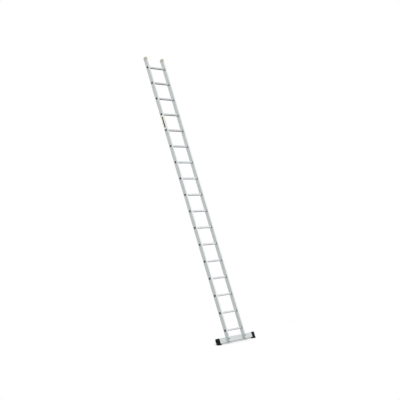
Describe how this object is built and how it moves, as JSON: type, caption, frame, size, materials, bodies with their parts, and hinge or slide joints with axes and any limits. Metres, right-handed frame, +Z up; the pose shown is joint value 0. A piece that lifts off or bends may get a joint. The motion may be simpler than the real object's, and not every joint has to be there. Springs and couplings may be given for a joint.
{
  "type": "leaning ladder",
  "caption": "Tall single-section aluminium leaning ladder with box stiles, square grooved rungs, plastic end plugs and a wide stabiliser bar on rubber feet.",
  "frame": {"origin": "on the floor, midway between the two rubber soles", "axes": "+Z up, +X to the climber's right along the rungs, +Y towards the wall that the ladder leans on"},
  "size_m": [0.93, 1.8417, 4.5303],
  "materials": {
    "stile_aluminium": "mill-finish extrusion",
    "rung_aluminium": "mill-finish grooved extrusion",
    "bar_aluminium": "mill-finish extrusion",
    "top_plug_plastic": "moulded pale grey-olive plastic",
    "black_plastic": "moulded, fine grain",
    "black_rubber": "matt moulded rubber",
    "dark_zinc_steel": "dark plated",
    "zinc_steel": "bright zinc plated",
    "rivet_aluminium": "plain",
    "label_vinyl": "printed vinyl"
  },
  "bodies": {
    "root": {"stile_left": "stile_aluminium", "top_plug_left": "top_plug_plastic", "stile_plug_left": "black_plastic", "rung_plugs_left": "black_plastic", "foot_cap_left": "black_plastic", "sole_left": "black_rubber", "stile_right": "stile_aluminium", "top_plug_right": "top_plug_plastic", "stile_plug_right": "black_plastic", "rung_plugs_right": "black_plastic", "foot_cap_right": "black_plastic", "sole_right": "black_rubber", "rung_01": "rung_aluminium", "rung_02": "rung_aluminium", "rung_03": "rung_aluminium", "rung_04": "rung_aluminium", "rung_05": "rung_aluminium", "rung_06": "rung_aluminium", "rung_07": "rung_aluminium", "rung_08": "rung_aluminium", "rung_09": "rung_aluminium", "rung_10": "rung_aluminium", "rung_11": "rung_aluminium", "rung_12": "rung_aluminium", "rung_13": "rung_aluminium", "rung_14": "rung_aluminium", "rung_15": "rung_aluminium", "rung_16": "rung_aluminium", "rung_17": "rung_aluminium", "stabiliser_bar": "bar_aluminium", "bolts": "dark_zinc_steel", "front_washers": "dark_zinc_steel", "rear_washers": "zinc_steel", "stile_spacers": "zinc_steel", "bar_spacers": "zinc_steel", "lock_nuts": "zinc_steel", "foot_rivets": "rivet_aluminium", "label": "label_vinyl"}
  },
  "joints": []
}
